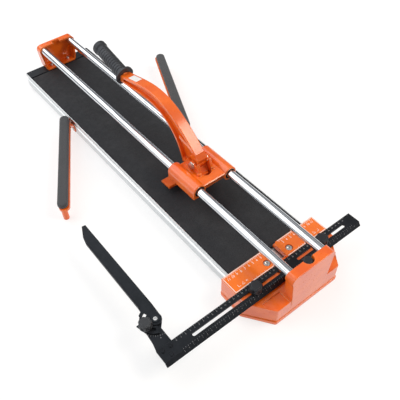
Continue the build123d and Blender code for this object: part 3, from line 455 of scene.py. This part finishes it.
def label_film():
    """Slightly grubby white label film."""
    grubby = (0.82, 0.82, 0.82)
    clean = (0.90, 0.90, 0.89)
    s = Shader("label_film", Coat_Weight=0.3, Coat_Roughness=0.2)
    s.colour(s.blend(s.noise(200.0, 4.0), 0.4, 0.7, grubby, clean))
    s.rough(s.noise(400.0), 0.25, 0.40)
    return s.material


def studio_paper():
    """Matt grey paper that glows a little, so that the floor comes out white with soft shadows."""
    dark = (0.35, 0.35, 0.35)
    light = (0.38, 0.38, 0.38)
    s = Shader("paper", Roughness=0.9, Specular_IOR_Level=0.1, Emission_Strength=FLOOR_GLOW,
               Emission_Color=(*WHITE, 1.0))
    s.colour(s.blend(s.noise(3.0), 0.3, 0.7, dark, light))
    return s.material


MATERIALS = {
    "orange_paint": orange_paint(),
    "plate_paint": plate_paint(),
    "rail_chrome": rail_chrome(),
    "bed_aluminium": bed_aluminium(),
    "mat_rubber": mat_rubber(),
    "foot_rubber": moulded_plastic("foot_rubber", (0.018, 0.018, 0.019), 0.65, 0.80),
    "black_metal": black_coat("black_metal", 0.0105, 0.32, 0.46),
    "knob_plastic": moulded_plastic("knob_plastic", (0.022, 0.022, 0.025), 0.34, 0.48),
    "grey_plastic": moulded_plastic("grey_plastic", (0.040, 0.041, 0.044), 0.42, 0.56),
    "zinc_steel": bright_steel("zinc_steel", 0.60, 0.22, 0.36),
    "dark_steel": bright_steel("dark_steel", 0.24, 0.34, 0.48),
    "carbide": bright_steel("carbide", 0.50, 0.16, 0.26),
    "grip_rubber": grip_rubber(),
    "foam": foam(),
    "bronze": bronze(),
    "eyelet_steel": eyelet_steel(),
    "print_ink": print_ink(),
    "ruler_ink": ruler_ink(),
    "label_film": label_film(),
    "paper": studio_paper(),
}

# CAD nodes that look different from the rest of their slot
OWN_LOOKS = {
    "left_scale_plate": "plate_paint",
    "right_scale_plate": "plate_paint",
    "arm_eyelet": "eyelet_steel",
}


def dress_cad_nodes():
    """Gives every CAD node the material of its slot, or its own look."""
    for part in frame["record"]["subparts"]:
        name = OWN_LOOKS.get(part["node"], part["material_slot"])
        NODES[part["node"]].data.materials.clear()
        NODES[part["node"]].data.materials.append(MATERIALS[name])


# ---------- meshes ----------

def mesh_object(name, verts, faces, material, smooth=False):
    """A new object from points and faces, with one material."""
    mesh = bpy.data.meshes.new(name)
    mesh.from_pydata([tuple(v) for v in verts], [], faces)
    mesh.validate()
    mesh.update()
    for polygon in mesh.polygons:
        polygon.use_smooth = smooth
    piece = bpy.data.objects.new(name, mesh)
    bpy.context.scene.collection.objects.link(piece)
    piece.data.materials.append(MATERIALS[material])
    return piece


def band(first, second):
    """Quads between two closed rings of point numbers."""
    count = len(first)
    return [[first[i], first[(i + 1) % count], second[(i + 1) % count], second[i]] for i in range(count)]


class Print:
    """Gathers thin raised marks on a flat or sloping face, then makes one mesh of them."""

    def __init__(self, name, place, material, body):
        self.name = name
        self.place = place
        self.material = material
        self.body = body
        self.verts = []
        self.faces = []

    def prism(self, corners):
        """A flat printed shape, from inside the face up to the thickness of the ink."""
        first = len(self.verts)
        count = len(corners)
        for height in (-INK_SINK, INK_RISE):
            self.verts += [self.place @ Vector((c.x, c.y, height)) for c in corners]
        bottom = list(range(first, first + count))
        top = list(range(first + count, first + 2 * count))
        self.faces += [top, bottom[::-1]]
        self.faces += band(bottom, top)

    def bar(self, x0, y0, x1, y1, width):
        """A straight printed line between two points."""
        start = Vector((x0, y0))
        stop = Vector((x1, y1))
        way = (stop - start).normalized()
        across = Vector((-way.y, way.x)) * width / 2
        self.prism([start + across, start - across, stop - across, stop + across])

    def tick(self, x, y, length, width):
        """A line along y, forwards where its length is negative."""
        self.bar(x, y, x, y + length, width)

    def disc(self, x, y, radius, corners=16):
        """A round dot."""
        turn = 2 * math.pi / corners
        self.prism([Vector((x + radius * math.cos(i * turn), y + radius * math.sin(i * turn)))
                    for i in range(corners)])

    def number(self, text, x, y, size):
        """Digits as a thin mesh, centred on a point."""
        curve = bpy.data.curves.new("digits", "FONT")
        curve.body = text
        curve.size = size
        curve.align_x = "CENTER"
        curve.align_y = "CENTER"
        curve.extrude = DIGIT_HALF
        curve.resolution_u = 3
        digits = bpy.data.objects.new("digits", curve)
        bpy.context.scene.collection.objects.link(digits)
        bpy.context.view_layer.update()
        mesh = bpy.data.meshes.new_from_object(digits)
        spot = self.place @ Matrix.Translation((x, y, DIGIT_LIFT))
        first = len(self.verts)
        self.verts += [spot @ v.co for v in mesh.vertices]
        self.faces += [[first + i for i in p.vertices] for p in mesh.polygons]
        bpy.data.objects.remove(digits)
        bpy.data.curves.remove(curve)
        bpy.data.meshes.remove(mesh)

    def finish(self):
        """Makes the mesh, which rides on its body."""
        piece = mesh_object(self.name, self.verts, self.faces, self.material)
        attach(piece, self.body)


def fence_ticks(marks, sign, rear, outer):
    """Ticks along the rear border, longer at each 5 mm and at each centimetre with its number."""
    number_size = 7.2 * MM
    number_gap = 9.4 * MM
    for step in range(FENCE_FIRST_TICK, int((outer - 2 * MM) / FENCE_TICK) + 1):
        x = sign * step * FENCE_TICK
        length = (5.2 if step % 4 == 0 else 3.6 if step % 2 == 0 else 2.4) * MM
        marks.tick(x, rear - 0.5 * MM, -length, 0.6 * MM)
        if step % 4 == 0:
            marks.number(str(step // 4), x, rear - number_gap, number_size)


def fence_rays(marks, sign, x, y, rays):
    """Lines that leave one corner towards the cutting line."""
    for reach, rise in rays:
        marks.bar(sign * x, y, sign * (x - reach * MM), y + rise * MM, FENCE_LINE)


def fence_signs(marks, sign, near):
    """Signs of a right angle and of half of it near the outer end, and a short scale beside them."""
    foot = near + 6 * MM
    fence_rays(marks, sign, FENCE_SIGNS, foot, ((5, 0), (0, 5)))
    fence_rays(marks, sign, FENCE_SIGNS - 9 * MM, foot, ((5, 5), (6, 0)))
    marks.number("45", sign * (FENCE_SIGNS - 21 * MM), foot + 2 * MM, 5.0 * MM)
    for step in range(9, 16):
        length = (2.9 if step % 2 else 1.7) * MM
        marks.tick(sign * step * 5 * MM, near + 0.5 * MM, length, 0.4 * MM)


def fence_scale(node, sign):
    """Border, scale and signs of one half of the fence, counted outwards from the cutting line."""
    low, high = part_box(node)
    marks = Print(node + "_print", Matrix.Translation((0, 0, high.z)), "print_ink", "base")
    inner = min(abs(low.x), abs(high.x)) + FENCE_SIDE_MARGIN
    outer = max(abs(low.x), abs(high.x)) - FENCE_SIDE_MARGIN
    rear = high.y - FENCE_END_MARGIN
    near = low.y + FENCE_END_MARGIN
    rear_gap = 7 * MM
    marks.bar(sign * (inner + rear_gap), rear, sign * outer, rear, FENCE_BORDER)
    marks.bar(sign * inner, near, sign * outer, near, FENCE_BORDER)
    marks.bar(sign * outer, near, sign * outer, rear, FENCE_SIDE_BORDER)
    fence_ticks(marks, sign, rear, outer)
    fence_signs(marks, sign, near)
    marks.finish()


def ruler_scale():
    """Ticks along both edges of the ruler's flat top, and a number at each centimetre."""
    low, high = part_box("ruler_bar")
    marks = Print("ruler_print", Matrix.Translation((0, 0, high.z)), "ruler_ink", "ruler")
    rear = high.y
    number_size = 3.6 * MM
    number_gap = 6.0 * MM
    bare_end = 10 * MM
    for step in range(int((high.x - low.x - RULER_START - bare_end) / RULER_TICK)):
        x = low.x + RULER_START + step * RULER_TICK
        whole = step % 2 == 0
        marks.tick(x, rear - 0.6 * MM, -(2.8 if whole else 1.6) * MM, RULER_LINE)
        if whole:
            marks.number(str(step // 2), x, rear - number_gap, number_size)
        marks.tick(x, rear - RULER_FLAT + 3.0 * MM, -(2.4 if whole else 1.6) * MM, RULER_LINE)
    marks.finish()


def lip_scale():
    """Ticks down the sloping front lip of the ruler."""
    low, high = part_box("ruler_bar")
    top = Vector((0, high.y - RULER_FLAT, high.z))
    foot = Vector((0, low.y, LIP_FOOT))
    up = (top - foot).normalized()
    right = Vector((1, 0, 0))
    face = Matrix((right, up, right.cross(up))).transposed().to_4x4()
    marks = Print("lip_print", Matrix.Translation(top) @ face, "ruler_ink", "ruler")
    for step in range(int((high.x - low.x) / LIP_TICK) - 4):
        length = (4.2 if step % 5 == 0 else 2.6) * MM
        marks.tick(low.x + RULER_START + step * LIP_TICK, -LIP_GAP, -length, 0.4 * MM)
    marks.finish()


def angle_marks():
    """Arc of degree ticks round the pivot of the angle arm, with a reference dot."""
    x0, y0, _ = JOINTS["angle_arm_pivot"]["pos_m"]
    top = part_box("end_plate")[1].z
    marks = Print("angle_print", Matrix.Translation((x0, y0, top)), "ruler_ink", "ruler")
    for step in range(ARC_TICKS):
        angle = math.radians(ARC_START + step * ARC_STEP)
        length = (3.2 if step % 2 == 0 else 2.0) * MM
        way = Vector((math.cos(angle), math.sin(angle)))
        start = way * ARC_RADIUS
        stop = way * (ARC_RADIUS + length)
        marks.bar(start.x, start.y, stop.x, stop.y, 0.4 * MM)
    marks.disc(*ARC_DOT, ARC_DOT_RADIUS)
    marks.finish()


def handle_label():
    """A blank film laid over the crowned top of the lever."""
    tree = BVHTree.FromObject(NODES["handle_arm"], bpy.context.evaluated_depsgraph_get())
    down = Vector((0, 0, -1))
    verts = []
    for lift in (FILM_RISE, -FILM_SINK):
        for i in range(LABEL_ROWS + 1):
            y = LABEL_START + (LABEL_END - LABEL_START) * i / LABEL_ROWS
            for j in range(LABEL_COLUMNS + 1):
                x = -LABEL_HALF + 2 * LABEL_HALF * j / LABEL_COLUMNS
                spot, normal, _, _ = tree.ray_cast(Vector((x, y, 1.0)), down)
                verts.append(spot + normal * lift)
    wide = LABEL_COLUMNS + 1
    layer = wide * (LABEL_ROWS + 1)
    faces = []
    for i in range(LABEL_ROWS):
        for j in range(LABEL_COLUMNS):
            a = i * wide + j
            quad = [a, a + 1, a + 1 + wide, a + wide]
            faces.append(quad)
            faces.append([layer + corner for corner in (quad[0], quad[3], quad[2], quad[1])])
    rim = list(range(LABEL_COLUMNS))
    rim += [i * wide + LABEL_COLUMNS for i in range(LABEL_ROWS)]
    rim += [LABEL_ROWS * wide + j for j in range(LABEL_COLUMNS, 0, -1)]
    rim += [i * wide for i in range(LABEL_ROWS, 0, -1)]
    faces += band([layer + a for a in rim], rim)
    piece = mesh_object("handle_label", verts, faces, "label_film", smooth=True)
    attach(piece, "handle")


# ---------- foam sleeves ----------

def stadium_ring(start, stop, radius, z):
    """A ring of points round a bar with round ends, at one height."""
    way = (stop - start).normalized()
    left = Vector((-way.y, way.x, 0))
    points = []
    for centre, sign in ((stop, 1), (start, -1)):
        for i in range(SLEEVE_END_STEPS + 1):
            turn = math.pi * i / SLEEVE_END_STEPS - math.pi / 2
            point = centre + sign * (way * math.cos(turn) + left * math.sin(turn)) * radius
            points.append(Vector((point.x, point.y, z)))
    return points


def split_long_sides(points):
    """Adds points along the two straight sides of a stadium ring."""
    result = []
    for i, point in enumerate(points):
        following = points[(i + 1) % len(points)]
        result.append(point)
        if (following - point).length > LONG_SIDE:
            result += [point.lerp(following, k / SLEEVE_SIDE_STEPS) for k in range(1, SLEEVE_SIDE_STEPS)]
    return result


def foam_sleeve(side, seed):
    """Foam pad of a side arm: rounded top edges, a crowned back and small dents from handling."""
    node = f"{side}_arm_foam"
    low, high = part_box(node)
    pivot = JOINTS[f"{side}_arm_pivot"]["pos_m"]
    start = Vector((pivot[0], pivot[1], 0))
    far_x = low.x + SLEEVE_HALF if side == "left" else high.x - SLEEVE_HALF
    far_y = low.y + SLEEVE_HALF if side == "left" else high.y - SLEEVE_HALF
    stop = Vector((far_x, far_y, 0))
    bottom = low.z
    height = high.z - low.z
    rings = []
    for inset, level in SLEEVE_OUTLINE:
        ring = stadium_ring(start, stop, SLEEVE_HALF - inset * MM, bottom + level * height)
        rings.append(split_long_sides(ring))
    rng = random.Random(seed)
    dents = [(rng.uniform(0.1, 0.95), rng.uniform(-1, 1), rng.uniform(0.25, 0.7)) for _ in range(DENTS)]
    way = stop - start
    left = Vector((-way.y, way.x, 0)).normalized()
    verts = []
    for point in (point for ring in rings for point in ring):
        along = (point - start).dot(way) / way.length_squared
        aside = (Vector((point.x, point.y, 0)) - start).dot(left) / SLEEVE_HALF
        level = (point.z - bottom) / height
        dent = 0.0
        for at, across, depth in dents:
            gap = ((along - at) * way.length / DENT_LENGTH) ** 2 + ((aside - across) / DENT_WIDTH) ** 2
            dent += depth * math.exp(-gap)
        inward = left * (-aside * DENT_SQUEEZE * dent * level)
        verts.append(Vector((point.x, point.y, point.z - dent * DENT_DROP * level)) + inward)
    count = len(rings[0])
    loops = [list(range(r * count, (r + 1) * count)) for r in range(len(rings))]
    faces = []
    for lower, upper in zip(loops, loops[1:]):
        faces += band(lower, upper)
    faces += [loops[0][::-1], loops[-1]]
    piece = mesh_object(f"{side}_foam_sleeve", verts, faces, "foam", smooth=True)
    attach(piece, f"{side}_arm")
    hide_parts(node)


# ---------- studio ----------

def studio():
    """Pale floor, soft light from behind and from both sides."""
    corners = [(-FLOOR_REACH, -FLOOR_REACH, 0), (FLOOR_REACH, -FLOOR_REACH, 0),
               (FLOOR_REACH, FLOOR_REACH, 0), (-FLOOR_REACH, FLOOR_REACH, 0)]
    floor = mesh_object("floor", corners, [[0, 1, 2, 3]], "paper")
    for name, place, wide, high, power, tint in LAMPS:
        lamp = bpy.data.lights.new(name, "AREA")
        lamp.shape = "RECTANGLE"
        lamp.size = wide
        lamp.size_y = high
        lamp.energy = power
        lamp.color = tint
        holder = bpy.data.objects.new(name, lamp)
        holder.location = place
        holder.rotation_euler = (LAMP_AIM - Vector(place)).to_track_quat("-Z", "Y").to_euler()
        bpy.context.scene.collection.objects.link(holder)


def colour_ramp(tree, source, stops):
    """Colours over a value, from positions and colours in rising order."""
    node = tree.nodes.new("ShaderNodeValToRGB")
    elements = node.color_ramp.elements
    for element, (position, colour) in zip(elements, (stops[0], stops[-1])):
        element.position = position
        element.color = (*colour, 1)
    for position, colour in stops[1:-1]:
        elements.new(position).color = (*colour, 1)
    tree.links.new(source, node.inputs["Fac"])
    return node.outputs["Color"]


def sky():
    """White surround, darker at the horizon and in one stripe, for the chrome to show."""
    world = bpy.data.worlds.new("studio")
    bpy.context.scene.world = world
    world.use_nodes = True
    tree = world.node_tree
    place = tree.nodes.new("ShaderNodeTexCoord")
    split = tree.nodes.new("ShaderNodeSeparateXYZ")
    tree.links.new(place.outputs["Generated"], split.inputs[0])
    shade = tree.nodes.new("ShaderNodeMix")
    shade.data_type = "RGBA"
    shade.blend_type = "MULTIPLY"
    shade.inputs["Factor"].default_value = 1.0
    tree.links.new(colour_ramp(tree, split.outputs["Z"], SKY_HEIGHTS), shade.inputs[6])
    tree.links.new(colour_ramp(tree, split.outputs["X"], SKY_SIDES), shade.inputs[7])
    background = tree.nodes["Background"]
    background.inputs["Strength"].default_value = SKY_STRENGTH
    tree.links.new(shade.outputs[2], background.inputs["Color"])


def camera():
    """Stands where the photo was taken, with its lens shifted to the photo's framing."""
    back = Vector((math.sin(CAMERA_AZIMUTH) * math.cos(CAMERA_ELEVATION),
                   -math.cos(CAMERA_AZIMUTH) * math.cos(CAMERA_ELEVATION),
                   math.sin(CAMERA_ELEVATION)))
    level = Vector((math.cos(CAMERA_AZIMUTH), math.sin(CAMERA_AZIMUTH), 0))
    upright = back.cross(level)
    right = level * math.cos(CAMERA_ROLL) + upright * math.sin(CAMERA_ROLL)
    up = upright * math.cos(CAMERA_ROLL) - level * math.sin(CAMERA_ROLL)
    data = bpy.data.cameras.new("camera")
    data.sensor_width = CAMERA_SENSOR
    data.lens = CAMERA_LENS
    data.shift_x, data.shift_y = CAMERA_SHIFT
    data.clip_end = CAMERA_REACH
    holder = bpy.data.objects.new("camera", data)
    holder.matrix_world = Matrix.Translation(CAMERA_PLACE) @ Matrix((right, up, back)).transposed().to_4x4()
    bpy.context.scene.collection.objects.link(holder)
    bpy.context.scene.camera = holder


camera()
sky()
studio()
dress_cad_nodes()
fence_scale("left_scale_plate", -1)
fence_scale("right_scale_plate", 1)
ruler_scale()
lip_scale()
angle_marks()
handle_label()
foam_sleeve("left", seed=7)
foam_sleeve("right", seed=11)

bpy.context.scene.view_settings.view_transform = "Standard"
